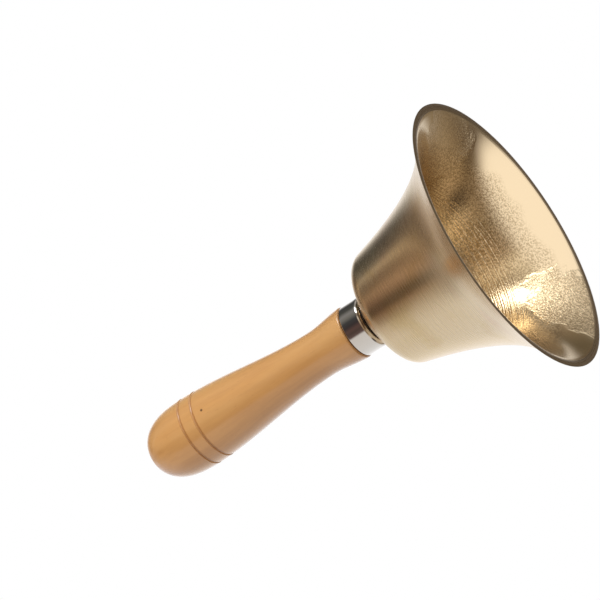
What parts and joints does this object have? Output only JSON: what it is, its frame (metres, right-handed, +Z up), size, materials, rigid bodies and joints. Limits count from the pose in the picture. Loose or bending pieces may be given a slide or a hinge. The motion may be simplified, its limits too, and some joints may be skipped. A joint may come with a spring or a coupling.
{
  "type": "hand bell",
  "caption": "Flared brass hand bell with a turned wooden handle, a metal ferrule and a clapper that swings freely on a link ring.",
  "frame": {"origin": "centre of the mouth, in the plane of the lip that the bell stands on", "axes": "+Z up the handle along the bell's axis of revolution; the screw's eye lies in the XZ plane"},
  "size_m": [0.115, 0.115, 0.174],
  "materials": {
    "bell_brass": "turned and brushed, satin outside, chatter-ridged inside",
    "ferrule_nickel": "nickel plated, mirror polished",
    "handle_wood": "turned and clear varnished",
    "washer_fibre": "dark vulcanised fibre",
    "fixing_steel": "zinc plated",
    "link_steel": "drawn steel wire",
    "clapper_steel": "turned steel ball"
  },
  "bodies": {
    "bell": {"bell_body": "bell_brass", "ferrule": "ferrule_nickel", "handle_grip": "handle_wood", "crown_washer": "washer_fibre", "flat_washer": "fixing_steel", "lock_washer": "fixing_steel", "eye_screw": "fixing_steel"},
    "link": {"link_ring": "link_steel"},
    "clapper": {"clapper_rod": "link_steel", "clapper_ball": "clapper_steel"}
  },
  "joints": [
    {"name": "link_swing", "type": "hinge", "parent": "bell", "child": "link", "pos_m": [0, 0, 0.0491], "axis": [1, 0, 0], "range_deg": [-60, 60]},
    {"name": "clapper_swing", "type": "hinge", "parent": "link", "child": "clapper", "pos_m": [0, 0, 0.044], "axis": [0, 1, 0], "range_deg": [-60, 60]}
  ]
}
